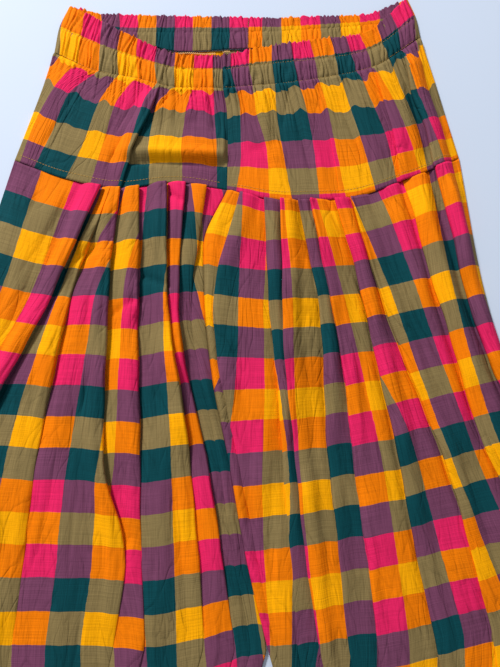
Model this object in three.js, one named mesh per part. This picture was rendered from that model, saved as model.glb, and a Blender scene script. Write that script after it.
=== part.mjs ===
// A pair of salwar trousers laid flat, front up: gathered waist casing, hip yoke in two pieces,
// two legs pleated into the yoke seam, and a facing round each ankle. Millimetres, +Z up,
// +Y towards the waist, X = 0 midway between the two widest points of the legs.
import * as THREE from 'three';

// Driving sizes of the cloth
const WALL = 1.0;
const SEAM_GAP = 0.3;
const LAYER_GAP = 0.4;
const STRIPE = 34;
const BACK_Z = WALL / 2;
const FRONT_Z = BACK_Z + WALL + LAYER_GAP;
const BAND_Z = FRONT_Z + 1.2;

// Pleats: the deepest overlap that is modelled, how round their edges are, how wide the cloth rises
const OVERLAP_MAX = 8;
const EDGE_ROUND = 1.1;
const RISE_WIDTH = 14;
const FULL_PLEAT = 14;
const SIDE_ROUND = 22;
const EDGE_DROP = 2.4;
const EDGE_FLAT = 1.2;
const POINT_SPACING = 12;

// Gathers in the waist casing
const GATHER_PITCH = 4.6;
const GATHER_HEIGHT = 1.15;
const STITCHED_SHARE = 0.35;

// Depths below the yoke seam
const CROTCH_DOWN = 450;
const FACING_DOWN = 765;
const ANKLE_DOWN = 805;
const LEG_DEPTHS = [0, 18, 60, 120, 195, 270, 360, CROTCH_DOWN, 540, 650, FACING_DOWN];
const PLEAT_LEVELS = [0, 120, 270, CROTCH_DOWN, ANKLE_DOWN];

// The middle of the laid garment in the drafting coordinates of the tables below
const MIDDLE = { x: -1.5, y: 6 };

// Where the centre seam runs, by depth
const CENTRE = [
  { down: 0, x: -23.5, y: 302 },
  { down: 60, x: -47, y: 243 },
  { down: 120, x: -45.5, y: 186 },
  { down: 195, x: -37, y: 110 },
  { down: 270, x: -21.5, y: 35 },
  { down: 360, x: -4, y: -58 },
  { down: CROTCH_DOWN, x: 17.5, y: -144 },
];

// Levels down each leg: the side fold, then the height of the front row at the quarters across,
// how high the centre edge stands over the other leg, and the inseam below the crotch
const LEFT_LEVELS = [
  { down: 0, side: -242, ySide: 334, yQuarter: 313, yMiddle: 303, yThird: 309, edge: 0 },
  { down: 120, side: -276, ySide: 209, yQuarter: 194, yMiddle: 189, yThird: 189, edge: 0 },
  { down: 270, side: -322, ySide: 51, yQuarter: 45, yMiddle: 41, yThird: 39, edge: 0 },
  { down: CROTCH_DOWN, side: -352, ySide: -130, yQuarter: -136, yMiddle: -137, yThird: -140, edge: 0 },
  { down: ANKLE_DOWN, side: -276, ySide: -500, yQuarter: -500, yMiddle: -500, yThird: -500, edge: 0 },
];
const RIGHT_LEVELS = [
  { down: 0, side: 215, ySide: 336, yQuarter: 311, yMiddle: 292, yThird: 290, edge: 4 },
  { down: 120, side: 233, ySide: 205, yQuarter: 190, yMiddle: 176, yThird: 170, edge: 6 },
  { down: 270, side: 269, ySide: 68, yQuarter: 50, yMiddle: 34, yThird: 26, edge: 4 },
  { down: CROTCH_DOWN, side: 349, ySide: -100, yQuarter: -114, yMiddle: -130, yThird: -144, edge: 2 },
  { down: ANKLE_DOWN, side: 273, ySide: -500, yQuarter: -500, yMiddle: -500, yThird: -500, edge: 0 },
];
const INSEAM = { left: -106, right: 103, y: -500 };

// One row for each pleat, from the side to the centre: how high it stands, and at four levels
// the place of its edge and the hidden cloth in stripes. The outer cloth lies over the inner.
const LEFT_PLEATS = [
  { height: 8, seam: [-150, 1.0], upper: [-195, 0.86], lower: [-259, 0.17], crotch: [-286, 0.05] },
  { height: 5, seam: [-140, 0.02], upper: [-177, 0.62], lower: [-203, 0.15], crotch: [-222, 0.03] },
  { height: 6, seam: [-131, 2.3], upper: [-140, 0.95], lower: [-140, 0.58], crotch: [-126, 0.05] },
  { height: 6, seam: [-112, 1.37], upper: [-110, 0.44], lower: [-106, 0.27], crotch: [-97, 0.2] },
  { height: 7, seam: [-84, 1.4], upper: [-80, 0.85], lower: [-57, 0.4], crotch: [-42, 0.1] },
  { height: 6, seam: [-65, 1.29], upper: [-71, 0.74], lower: [-42, 0.54], crotch: [-12, 0.1] },
  { height: 5, seam: [-43.6, 1.13], upper: [-58, 0.05], lower: [-32, 0.02], crotch: [2, 0.02] },
];
const RIGHT_PLEATS = [
  { height: 9, seam: [187, 0.9], upper: [213, 0.7], lower: [256, 0.06], crotch: [330, 0.02] },
  { height: 5, seam: [156, 0.05], upper: [185, 0.9], lower: [222, 1.3], crotch: [300, 0.3] },
  { height: 5, seam: [101, 1.0], upper: [131, 0.61], lower: [181, 0.74], crotch: [225, 0.25] },
  { height: 7, seam: [85, 2.0], upper: [113, 2.0], lower: [140, 0.9], crotch: [171, 0.4] },
  { height: 5, seam: [60, 0.79], upper: [82, 0.59], lower: [100, 0.2], crotch: [119, 0.12] },
  { height: 6, seam: [48, 1.25], upper: [68, 0.8], lower: [76, 0.25], crotch: [92, 0.2] },
  { height: 8, seam: [30, 1.44], upper: [32, 1.36], lower: [43, 1.69], crotch: [64, 1.04] },
  { height: 5, seam: [14, 1.3], upper: [20, 0.75], lower: [32, 0.26], crotch: [44, 0.3] },
  { height: 5, seam: [-10.3, 1.5], upper: [-37, 0.81], lower: [-12, 0.02], crotch: [25, 0.02] },
];

// Levels down the waist: side fold, centre front, and the rows' heights across front and back
const LEFT_WAIST = [
  { name: 'edge', side: -192, centre: -30, front: [504, 483, 462, 451, 449], back: [504, 495, 494, 493, 492] },
  { name: 'stitch', side: -202, centre: -29, front: [479, 459, 444, 433, 432], back: [479, 476, 475, 475, 475] },
  { name: 'casing', side: -206, centre: -28, front: [451, 430, 421, 411, 411], back: [451, 453, 453, 453, 452] },
  { name: 'hip', side: -214, centre: -24, front: [420, 398, 388, 385, 384], back: [420, 418, 418, 418, 418] },
  { name: 'low', side: -230, centre: -23, front: [370, 352, 344, 343, 340], back: [370, 368, 367, 367, 367] },
  { name: 'seam', side: -242, centre: -23.5, front: [334, 313, 303, 309, 302], back: [334, 330, 328, 327, 327] },
];
const RIGHT_WAIST = [
  { name: 'edge', side: 168, centre: -30, front: [512, 472, 465, 458, 449], back: [512, 494, 492, 491, 492] },
  { name: 'stitch', side: 176, centre: -29, front: [491, 454, 444, 439, 432], back: [491, 483, 479, 476, 475] },
  { name: 'casing', side: 180, centre: -28, front: [468, 434, 422, 415, 411], back: [468, 464, 460, 456, 452] },
  { name: 'hip', side: 193, centre: -24, front: [420, 398, 389, 387, 384], back: [420, 418, 418, 418, 418] },
  { name: 'low', side: 206, centre: -23, front: [370, 352, 342, 340, 340], back: [370, 368, 367, 367, 367] },
  { name: 'seam', side: 215, centre: -23.5, front: [336, 311, 292, 290, 302], back: [336, 331, 328, 327, 327] },
];
const LEFT_YOKE_FOLDS = [
  { height: 3, casing: [-165, 0.0], hip: [-178, 0.1], low: [-205, 0.08], seam: [-218, 0.02] },
  { height: 8, casing: [-92, 0.05], hip: [-101, 0.6], low: [-123, 0.5], seam: [-131, 0.3] },
];
const RIGHT_YOKE_FOLDS = [
  { height: 8, casing: [158, 0.3], hip: [174, 0.7], low: [183, 0.8], seam: [187, 0.9] },
  { height: 6, casing: [128, 0.15], hip: [137, 0.35], low: [148, 0.3], seam: [152, 0.15] },
  { height: 4, casing: [70, 0.05], hip: [74, 0.2], low: [86, 0.15], seam: [92, 0.05] },
];

// The cloth's colours where the stripes of one colour cross
const COLOURS = { yellow: 0xfcb005, pink: 0xe82066, teal: 0x0a484e, orange: 0xfa8200, purple: 0x734164 };

function clothMaterial(colour) {
  return new THREE.MeshStandardMaterial({ color: colour, roughness: 0.85, metalness: 0 });
}

// Smooth step from 0 to 1
function ease(value) {
  const t = Math.min(Math.max(value, 0), 1);
  return t * t * (3 - 2 * t);
}

// Positive part of a length, rounded at zero
function roundedPart(length) {
  if (Math.abs(length) >= EDGE_ROUND) return Math.max(length, 0);
  return (length + EDGE_ROUND) ** 2 / (4 * EDGE_ROUND);
}

// A curve through table values that never overshoots them
function along(places, values, at) {
  const last = places.length - 1;
  const place = Math.min(Math.max(at, places[0]), places[last]);
  let k = 0;
  while (k < last - 1 && place > places[k + 1]) k += 1;
  const slope = (i) => (values[i + 1] - values[i]) / (places[i + 1] - places[i]);
  const tangent = (i) => {
    if (i === 0) return slope(0);
    if (i === last) return slope(last - 1);
    const before = slope(i - 1);
    const after = slope(i);
    return before * after <= 0 ? 0 : (2 * before * after) / (before + after);
  };
  const width = places[k + 1] - places[k];
  const t = (place - places[k]) / width;
  const rise = t * t * (3 - 2 * t);
  const curve = t * (1 - t) * ((1 - t) * tangent(k) - t * tangent(k + 1)) * width;
  return values[k] + (values[k + 1] - values[k]) * rise + curve;
}

// A column of a table read at any place
function column(table, key, name, at) {
  return along(table.map((row) => row[key]), table.map((row) => row[name]), at);
}

// One section of a flattened tube, drawn for a left side: the back from the centre out to the side
// fold, a half turn up, and the front with its pleats back to the centre.
function section({ side, centre, frontZ, pleats, edge, fills }) {
  const points = [];
  const turn = (frontZ - BACK_Z) / 2;
  const backSteps = 5;
  for (let i = 0; i < backSteps; i += 1) {
    const x = centre + ((side + turn - centre) * i) / backSteps;
    points.push({ x, z: BACK_Z, face: 'back' });
  }
  const turnSteps = 4;
  for (let i = 0; i < turnSteps; i += 1) {
    const angle = -Math.PI / 2 - (Math.PI * i) / turnSteps;
    const x = side + turn + turn * Math.cos(angle);
    points.push({ x, z: BACK_Z + turn + turn * Math.sin(angle), face: i < 2 ? 'back' : 'front' });
  }

  // Length along the front where each pleat's edge comes
  const start = side + turn;
  let folded = 0;
  const edges = pleats.map((pleat) => {
    const overlap = Math.min(pleat.hidden / 2, OVERLAP_MAX);
    const place = { ...pleat, overlap, from: pleat.x - start + folded };
    folded += 2 * overlap;
    return place;
  });
  const length = centre - start + folded;
  const acrossAt = (s) => edges.reduce(
    (x, e) => x - 2 * roundedPart(s - e.from) + 2 * roundedPart(s - e.from - e.overlap),
    start + s,
  );
  const heightAt = (s, x) => {
    let z = frontZ + 1.6 * ease((x - start) / SIDE_ROUND);
    edges.forEach((e) => {
      const rise = ease((x - (e.x - e.overlap - RISE_WIDTH)) / RISE_WIDTH);
      const firstTurn = ease((s - e.from + EDGE_ROUND) / (2 * EDGE_ROUND));
      const secondTurn = ease((s - e.from - e.overlap + EDGE_ROUND) / (2 * EDGE_ROUND));
      z += e.height * rise * (1 - firstTurn / 2 - secondTurn / 2);
    });
    const lift = ease((x - (centre - RISE_WIDTH)) / RISE_WIDTH);
    const drop = ease((s - (length - EDGE_DROP - EDGE_FLAT)) / EDGE_DROP);
    return z + edge * lift * (1 - drop) - 1.2 * ease((x - (centre - SIDE_ROUND)) / SIDE_ROUND);
  };

  const stops = [];
  let previous = 0;
  const fill = (first, last, count) => {
    for (let i = 1; i <= count; i += 1) stops.push(first + ((last - first) * i) / (count + 1));
  };
  edges.forEach((e, k) => {
    const open = Math.max(e.overlap, 3);
    const first = e.from - EDGE_ROUND;
    fill(previous, first, fills[k]);
    stops.push(first, e.from, e.from + EDGE_ROUND);
    stops.push(e.from + open - EDGE_ROUND + 0.2, e.from + open, e.from + open + EDGE_ROUND);
    previous = e.from + open + EDGE_ROUND;
  });
  stops.unshift(0);
  fill(previous, length - EDGE_DROP - EDGE_FLAT, fills[edges.length]);
  stops.push(length - EDGE_DROP - EDGE_FLAT, length - EDGE_FLAT, length);
  let reached = -1;
  stops.forEach((stop) => {
    reached = Math.max(stop, reached + 0.3);
    const x = acrossAt(reached);
    points.push({ x, z: heightAt(reached, x), face: 'front' });
  });
  return points;
}

// How many points go between the pleats, from the widths between them along the seam
function fillCounts(side, places, centre) {
  const stops = [side, ...places, centre];
  return stops.slice(1).map((stop, k) => Math.ceil(Math.abs(stop - stops[k]) / POINT_SPACING));
}

// The same section gathered by elastic: both faces run in small waves on the side that shows
function gatheredSection({ side, centre, waves, share, phase }) {
  const points = [];
  const turn = (BAND_Z - BACK_Z) / 2;
  const steps = 2 * waves;
  const inner = centre - side - turn;
  const ripple = (i) => {
    const height = GATHER_HEIGHT * share * (0.8 + 0.2 * Math.sin(2.3 * i + phase));
    return i % 2 === 1 ? height : 0;
  };
  for (let i = 0; i <= steps; i += 1) {
    const x = centre - (inner * i) / steps;
    points.push({ x, z: BACK_Z, face: 'back', raisedIn: i === steps ? 0 : ripple(i + 1) });
  }
  [-Math.PI * 0.75, -Math.PI, -Math.PI * 1.25].forEach((angle, i) => {
    const x = side + turn + turn * Math.cos(angle);
    points.push({ x, z: BACK_Z + turn + turn * Math.sin(angle), face: i < 1 ? 'back' : 'front' });
  });
  for (let i = 0; i <= steps; i += 1) {
    const x = side + turn + (inner * i) / steps;
    points.push({ x, z: BAND_Z, face: 'front', raisedOut: ripple(i) });
  }
  return points;
}

// Turns rows of sections into one closed wall. Each row gives its section and the heights of its
// front and back across the garment.
function wall(rows, mirrored) {
  const outer = [];
  const inner = [];
  rows.forEach((row) => {
    const points = row.points;
    const placed = (x, z, face) => {
      const t = (x - row.side) / (row.centre - row.side);
      const heights = face === 'front' ? row.front : row.back;
      const y = along([0, 0.25, 0.5, 0.75, 1], heights, t) + row.seamShift;
      return [(mirrored ? -x : x) - MIDDLE.x, y - MIDDLE.y, z];
    };
    points.forEach((point, i) => {
      const before = points[Math.max(i - 1, 0)];
      const after = points[Math.min(i + 1, points.length - 1)];
      const dx = after.x - before.x;
      const dz = after.z - before.z;
      const size = Math.hypot(dx, dz);
      const out = WALL / 2 + (point.raisedOut ?? 0);
      const into = WALL / 2 + (point.raisedIn ?? 0);
      outer.push(placed(point.x - (dz / size) * out, point.z + (dx / size) * out, point.face));
      inner.push(placed(point.x + (dz / size) * into, point.z - (dx / size) * into, point.face));
    });
  });
  const across = rows[0].points.length;
  const down = rows.length;
  const count = outer.length;
  const faces = [];
  const quad = (a, b, c, d) => faces.push([a, b, c], [a, c, d]);
  for (let r = 0; r < down - 1; r += 1) {
    for (let p = 0; p < across - 1; p += 1) {
      const a = r * across + p;
      const b = a + across;
      quad(a, b, b + 1, a + 1);
      quad(count + a + 1, count + b + 1, count + b, count + a);
    }
    const first = r * across;
    const last = first + across - 1;
    quad(count + first, count + first + across, first + across, first);
    quad(last, last + across, count + last + across, count + last);
  }
  const lowest = (down - 1) * across;
  for (let p = 0; p < across - 1; p += 1) {
    quad(p, p + 1, count + p + 1, count + p);
    quad(count + lowest + p, count + lowest + p + 1, lowest + p + 1, lowest + p);
  }
  const geometry = new THREE.BufferGeometry();
  geometry.setAttribute('position', new THREE.Float32BufferAttribute([...outer, ...inner].flat(), 3));
  geometry.setIndex(faces.flatMap((face) => (mirrored ? [face[0], face[2], face[1]] : face)));
  geometry.computeVertexNormals();
  return geometry;
}

// Half a seam's gap, above or below it, on the first and last row of a piece
function seamShift(index, count) {
  if (index === 0) return -SEAM_GAP / 2;
  return index === count - 1 ? SEAM_GAP / 2 : 0;
}

// Centre seam above the crotch, inseam below it
function centreAt(down, ankleX, leftward) {
  const gap = leftward ? -SEAM_GAP / 2 : SEAM_GAP / 2;
  if (down <= CROTCH_DOWN) {
    return { x: column(CENTRE, 'down', 'x', down) + gap, y: column(CENTRE, 'down', 'y', down) };
  }
  const crotch = CENTRE[CENTRE.length - 1];
  const t = (down - CROTCH_DOWN) / (ANKLE_DOWN - CROTCH_DOWN);
  const bow = Math.sin((Math.PI * t) / 2);
  return {
    x: crotch.x + gap + (ankleX - crotch.x) * (0.55 * t + 0.45 * bow),
    y: crotch.y + (INSEAM.y - crotch.y) * t,
  };
}

// Rows of a leg or of its ankle facing between the given depths
function legRows(depths, levels, pleats, ankleX, mirrored) {
  const sign = mirrored ? -1 : 1;
  const fills = fillCounts(levels[0].side, pleats.map((pleat) => pleat.seam[0]), CENTRE[0].x);
  return depths.map((down, index) => {
    const at = (name) => column(levels, 'down', name, down);
    const middle = centreAt(down, ankleX, !mirrored);
    const side = sign * at('side');
    const centre = sign * middle.x;
    const heights = [at('ySide'), at('yQuarter'), at('yMiddle'), at('yThird'), middle.y];
    const span = (share) => heights[0] + (heights[4] - heights[0]) * share;
    const crotchSide = column(levels, 'down', 'side', CROTCH_DOWN);
    const crotchWidth = CENTRE[CENTRE.length - 1].x - crotchSide;
    const folds = pleats.map((pleat) => {
      const share = (pleat.crotch[0] - crotchSide) / crotchWidth;
      const ankle = at('side') + share * (middle.x - at('side'));
      const rows = [pleat.seam, pleat.upper, pleat.lower, pleat.crotch];
      const places = [...rows.map((row) => row[0]), ankle];
      const amounts = [...rows.map((row) => row[1]), 0];
      const hidden = STRIPE * along(PLEAT_LEVELS, amounts, down);
      const x = down > CROTCH_DOWN ? ankle : along(PLEAT_LEVELS, places, down);
      return { x: sign * x, hidden, height: pleat.height * Math.min(hidden / FULL_PLEAT, 1) };
    });
    return {
      side,
      centre,
      front: heights,
      back: [heights[0], span(0.25), span(0.5), span(0.75), heights[4]],
      seamShift: seamShift(index, depths.length),
      points: section({ side, centre, frontZ: FRONT_Z, pleats: folds, edge: at('edge'), fills }),
    };
  });
}

// Rows of a yoke, from the casing's lower stitching to the leg seam
function yokeRows(levels, folds, mirrored) {
  const sign = mirrored ? -1 : 1;
  const names = ['casing', 'hip', 'low', 'seam'];
  const depths = [0, 0.4, 1, 1.5, 2, 2.6, 3];
  const rows = levels.slice(2);
  const seam = rows[rows.length - 1];
  const fills = fillCounts(seam.side, folds.map((fold) => fold.seam[0]), seam.centre);
  return depths.map((depth, index) => {
    const read = (pick) => along([0, 1, 2, 3], rows.map(pick), depth);
    const gap = (mirrored ? 1 : -1) * (SEAM_GAP / 2);
    const side = sign * read((row) => row.side);
    const centre = sign * (read((row) => row.centre) + gap);
    const pleats = folds.map((fold) => {
      const hidden = STRIPE * along([0, 1, 2, 3], names.map((name) => fold[name][1]), depth);
      const x = along([0, 1, 2, 3], names.map((name) => fold[name][0]), depth);
      return { x: sign * x, hidden, height: fold.height * Math.min(hidden / FULL_PLEAT, 1) };
    });
    const frontZ = BAND_Z + (FRONT_Z - BAND_Z) * ease(depth / 3);
    return {
      side,
      centre,
      front: [0, 1, 2, 3, 4].map((k) => read((row) => row.front[k])),
      back: [0, 1, 2, 3, 4].map((k) => read((row) => row.back[k])),
      seamShift: seamShift(index, depths.length),
      points: section({ side, centre, frontZ, pleats, edge: 0, fills }),
    };
  });
}

// Rows of the waist casing: header edge, upper stitching, middle of the channel, lower stitching
function casingRows(levels, mirrored) {
  const sign = mirrored ? -1 : 1;
  const shares = [1, STITCHED_SHARE, 1, STITCHED_SHARE];
  const depths = [0, 1, 1.5, 2];
  const width = Math.abs(levels[0].side - levels[0].centre);
  const waves = Math.round(width / GATHER_PITCH);
  return depths.map((depth, index) => {
    const read = (pick) => along([0, 1, 2], levels.slice(0, 3).map(pick), depth);
    const gap = (mirrored ? 1 : -1) * (SEAM_GAP / 2);
    const side = sign * read((row) => row.side);
    const centre = sign * (read((row) => row.centre) + gap);
    return {
      side,
      centre,
      front: [0, 1, 2, 3, 4].map((k) => read((row) => row.front[k])),
      back: [0, 1, 2, 3, 4].map((k) => read((row) => row.back[k])),
      seamShift: index === depths.length - 1 ? SEAM_GAP / 2 : 0,
      points: gatheredSection({ side, centre, waves, share: shares[index], phase: index }),
    };
  });
}

const garment = new THREE.Group();

function addPiece(name, rows, mirrored, colour) {
  const mesh = new THREE.Mesh(wall(rows, mirrored), clothMaterial(colour));
  mesh.name = name;
  garment.add(mesh);
}

const FACING_DEPTHS = [FACING_DOWN, ANKLE_DOWN];
const leftLeg = [LEFT_LEVELS, LEFT_PLEATS, INSEAM.left, false];
const rightLeg = [RIGHT_LEVELS, RIGHT_PLEATS, INSEAM.right, true];

addPiece('waistband_left', casingRows(LEFT_WAIST, false), false, COLOURS.orange);
addPiece('waistband_right', casingRows(RIGHT_WAIST, true), true, COLOURS.purple);
addPiece('yoke_left', yokeRows(LEFT_WAIST, LEFT_YOKE_FOLDS, false), false, COLOURS.teal);
addPiece('yoke_right', yokeRows(RIGHT_WAIST, RIGHT_YOKE_FOLDS, true), true, COLOURS.orange);
addPiece('leg_left', legRows(LEG_DEPTHS, ...leftLeg), false, COLOURS.purple);
addPiece('leg_right', legRows(LEG_DEPTHS, ...rightLeg), true, COLOURS.pink);
addPiece('cuff_left', legRows(FACING_DEPTHS, ...leftLeg), false, COLOURS.yellow);
addPiece('cuff_right', legRows(FACING_DEPTHS, ...rightLeg), true, COLOURS.yellow);

export default garment;
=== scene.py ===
# %% [markdown]
# # Salwar trousers laid flat
# These are wide cotton trousers: an elastic waist, a hip yoke in two halves, and two legs pleated
# into the yoke. The cloth is a yarn-dyed check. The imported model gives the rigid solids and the
# size; every sheet of cloth here lies on the form of one of those solids.

# %% Load the frame
import bpy
import math
import numpy as np
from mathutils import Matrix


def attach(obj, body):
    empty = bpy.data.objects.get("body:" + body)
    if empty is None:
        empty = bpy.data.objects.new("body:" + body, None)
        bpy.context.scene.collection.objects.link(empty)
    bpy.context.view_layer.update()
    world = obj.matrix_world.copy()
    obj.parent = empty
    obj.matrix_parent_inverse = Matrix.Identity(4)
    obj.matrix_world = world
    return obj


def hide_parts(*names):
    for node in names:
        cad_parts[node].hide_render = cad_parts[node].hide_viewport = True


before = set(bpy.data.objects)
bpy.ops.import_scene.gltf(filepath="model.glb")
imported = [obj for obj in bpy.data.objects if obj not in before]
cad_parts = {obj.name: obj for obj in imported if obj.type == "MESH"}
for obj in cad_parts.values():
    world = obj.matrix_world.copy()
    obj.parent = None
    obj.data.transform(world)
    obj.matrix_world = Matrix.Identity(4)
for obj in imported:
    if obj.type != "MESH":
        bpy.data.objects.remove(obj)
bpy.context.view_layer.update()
MM = 0.001
print("solids:", sorted(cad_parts))

# %% [markdown]
# Cloth sizes that every piece shares, in millimetres. They repeat the pattern's own sizes: the
# stripe width, the wall of the solids, and the levels that the back, the front and the waist casing
# lie at. "Down" is measured along a leg from the yoke seam, and "below edge" from the waist's edge.

# %% Cloth sizes
WALL = 1.0
CLOTH = 0.55
STRIPE = 34
ROW = 30
BACK_Z = 0.5
FRONT_Z = 1.9
BAND_Z = 3.1
OVERLAP_MAX = 8
EDGE_ROUND = 1.0
RISE_WIDTH = 14
FULL_PLEAT = 14
SIDE_ROUND = 22
CROTCH_DOWN = 450
FACING_DOWN = 765
ANKLE_DOWN = 805
ANKLE_Y = -500
UPPER_STITCH = 18
LOWER_STITCH = 41
GATHERS_OPEN = 44
QUARTERS = [0, 0.25, 0.5, 0.75, 1]
MIDDLE = {"x": -1.5, "y": 6}
print("one stripe", STRIPE, "mm, one row", ROW, "mm")

# %% [markdown]
# The garment is seen from about half a metre, nearly straight above. A camera that close makes
# the near parts larger, so its distance matters as much as its angle. It is put where the picture
# was taken from, with the long side of the frame covering 67 degrees.

# %% Camera
FOCAL_PIXELS = 501
FRAME_HEIGHT = 667
TILT = math.radians(6)
DISTANCE = 499
LOOKS_AT_Y = 155

camera_data = bpy.data.cameras.new("camera")
camera = bpy.data.objects.new("camera", camera_data)
bpy.context.scene.collection.objects.link(camera)
camera_data.sensor_fit = "VERTICAL"
camera_data.sensor_height = 36
camera_data.lens = camera_data.sensor_height * FOCAL_PIXELS / FRAME_HEIGHT
camera_data.clip_start = 0.01
camera.location = (
    -MIDDLE["x"] * MM,
    (LOOKS_AT_Y - MIDDLE["y"] - DISTANCE * math.sin(TILT)) * MM,
    DISTANCE * math.cos(TILT) * MM,
)
camera.rotation_euler = (TILT, 0, 0)
bpy.context.scene.camera = camera
bpy.context.scene.view_settings.view_transform = "Standard"
print("camera height", round(camera.location.z, 3))

# %% [markdown]
# A pale, nearly matt table top and one soft light beyond the waist end, on the left. It stands low, so
# each fold casts a shadow to its right. The room is a plain pale glow, which keeps the shadows soft.

# %% Floor and lights
def new_material(name):
    material = bpy.data.materials.new(name)
    material.use_nodes = True
    return material, material.node_tree.nodes["Principled BSDF"]


bpy.ops.mesh.primitive_plane_add(size=6, location=(0, 0, -0.0002))
floor = bpy.context.object
floor.name = "table_top"
floor_material, floor_shader = new_material("pale table")
floor_shader.inputs["Base Color"].default_value = (0.62, 0.70, 0.84, 1)
floor_shader.inputs["Roughness"].default_value = 0.6
floor_shader.inputs["Specular IOR Level"].default_value = 0.2
floor.data.materials.append(floor_material)

world = bpy.data.worlds.new("pale room")
bpy.context.scene.world = world
world.use_nodes = True
world.node_tree.nodes["Background"].inputs["Color"].default_value = (0.93, 0.96, 1.0, 1)
world.node_tree.nodes["Background"].inputs["Strength"].default_value = 0.37


def add_light(name, place, aim, size, power):
    data = bpy.data.lights.new(name, "AREA")
    data.size = size
    data.energy = power
    lamp = bpy.data.objects.new(name, data)
    bpy.context.scene.collection.objects.link(lamp)
    lamp.location = place
    direction = np.array(aim) - np.array(place)
    across = math.hypot(direction[0], direction[1])
    lamp.rotation_euler = (math.atan2(across, -direction[2]), 0, math.atan2(-direction[0], direction[1]))
    return lamp


key = add_light("key", place=(-1.6, 2.3, 1.9), aim=(0, 0.1, 0), size=0.55, power=118)
print("light:", key.name)

# %% [markdown]
# Where two different colours cross they blend to orange, olive or purple. A picture could hold it,
# but a pattern worked out from the cloth's own coordinates stays sharp at any size. U counts
# stripes across the cloth and V counts rows down it, so the check bends with every fold.

# %% Check material
CHECK = {
    ("yellow", "yellow"): (0.960, 0.395, 0.001),
    ("pink", "pink"): (0.760, 0.018, 0.115),
    ("teal", "teal"): (0.003, 0.056, 0.068),
    ("pink", "yellow"): (0.870, 0.200, 0.001),
    ("teal", "yellow"): (0.240, 0.172, 0.068),
    ("pink", "teal"): (0.175, 0.052, 0.108),
}
STRIPE_ORDER = ["yellow", "pink", "teal"]
ROW_ORDER = ["pink", "teal", "yellow", "teal", "pink", "yellow"]
MASKS = {"yellow": (1, 0, 0, 1), "pink": (0, 1, 0, 1), "teal": (0, 0, 1, 1)}
LENGTHWISE_YARNS = (46, 0.7, 1)
CROSSWISE_YARNS = (0.6, 52, 1)
# Crinkle lines: each dents the bump, and the colour is painted darker along it as crease shade.
CRINKLES = [
    {"scale": (2.7, 0.42, 1), "turn": 0, "patch_scale": (0.8, 0.35, 1), "sharpness": 17},
    {"scale": (1.6, 0.33, 1), "turn": 0.2, "patch_scale": (0.6, 0.3, 3), "sharpness": 22},
    {"scale": (1.5, 0.35, 7), "turn": -0.24, "patch_scale": (0.5, 0.35, 5), "sharpness": 22},
]


def add_node(tree, kind, **values):
    node = tree.nodes.new(kind)
    for name, value in values.items():
        setattr(node, name, value)
    return node


def maths(tree, operation, first, second=None):
    node = add_node(tree, "ShaderNodeMath", operation=operation)
    for socket, value in zip(node.inputs, (first, second)):
        if value is None:
            continue
        if isinstance(value, (int, float)):
            socket.default_value = value
        else:
            tree.links.new(value, socket)
    return node.outputs[0]


def stepped_ramp(tree, share, colours):
    node = add_node(tree, "ShaderNodeValToRGB")
    ramp = node.color_ramp
    ramp.interpolation = "CONSTANT"
    while len(ramp.elements) < len(colours):
        ramp.elements.new(0.5)
    for index, colour in enumerate(colours):
        ramp.elements[index].position = index / len(colours)
        ramp.elements[index].color = colour
    tree.links.new(share, node.inputs["Fac"])
    return node.outputs["Color"]


def mixed(tree, share, first, second, blend="MIX"):
    node = add_node(tree, "ShaderNodeMix", data_type="RGBA", blend_type=blend)
    for socket, value in ((node.inputs[0], share), (node.inputs[6], first), (node.inputs[7], second)):
        if isinstance(value, (int, float, tuple)):
            socket.default_value = value
        else:
            tree.links.new(value, socket)
    return node.outputs[2]


def streaks(tree, uv, scale, detail, turn=0.0):
    turned = add_node(tree, "ShaderNodeVectorRotate", rotation_type="Z_AXIS")
    turned.inputs["Angle"].default_value = turn
    tree.links.new(uv, turned.inputs["Vector"])
    stretch = add_node(tree, "ShaderNodeVectorMath", operation="MULTIPLY")
    stretch.inputs[1].default_value = scale
    tree.links.new(turned.outputs[0], stretch.inputs[0])
    noise = add_node(tree, "ShaderNodeTexNoise")
    noise.inputs["Scale"].default_value = 1
    noise.inputs["Detail"].default_value = detail
    tree.links.new(stretch.outputs[0], noise.inputs["Vector"])
    return noise.outputs["Fac"]


def crinkles(tree, uv, scale, turn, patch_scale, sharpness):
    """Thin uneven lines, 1 in a crease's bottom and 0 away from it."""
    wave = maths(tree, "SUBTRACT", streaks(tree, uv, scale, 1.5, turn), 0.5)
    line = maths(tree, "SUBTRACT", 1, maths(tree, "MULTIPLY", maths(tree, "ABSOLUTE", wave), sharpness))
    patches = maths(tree, "MULTIPLY", maths(tree, "SUBTRACT", streaks(tree, uv, patch_scale, 1), 0.42), 5)
    line = maths(tree, "MAXIMUM", line, 0)
    patches = maths(tree, "MINIMUM", maths(tree, "MAXIMUM", patches, 0), 1)
    return maths(tree, "MULTIPLY", maths(tree, "POWER", line, 1.5), patches)


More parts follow.
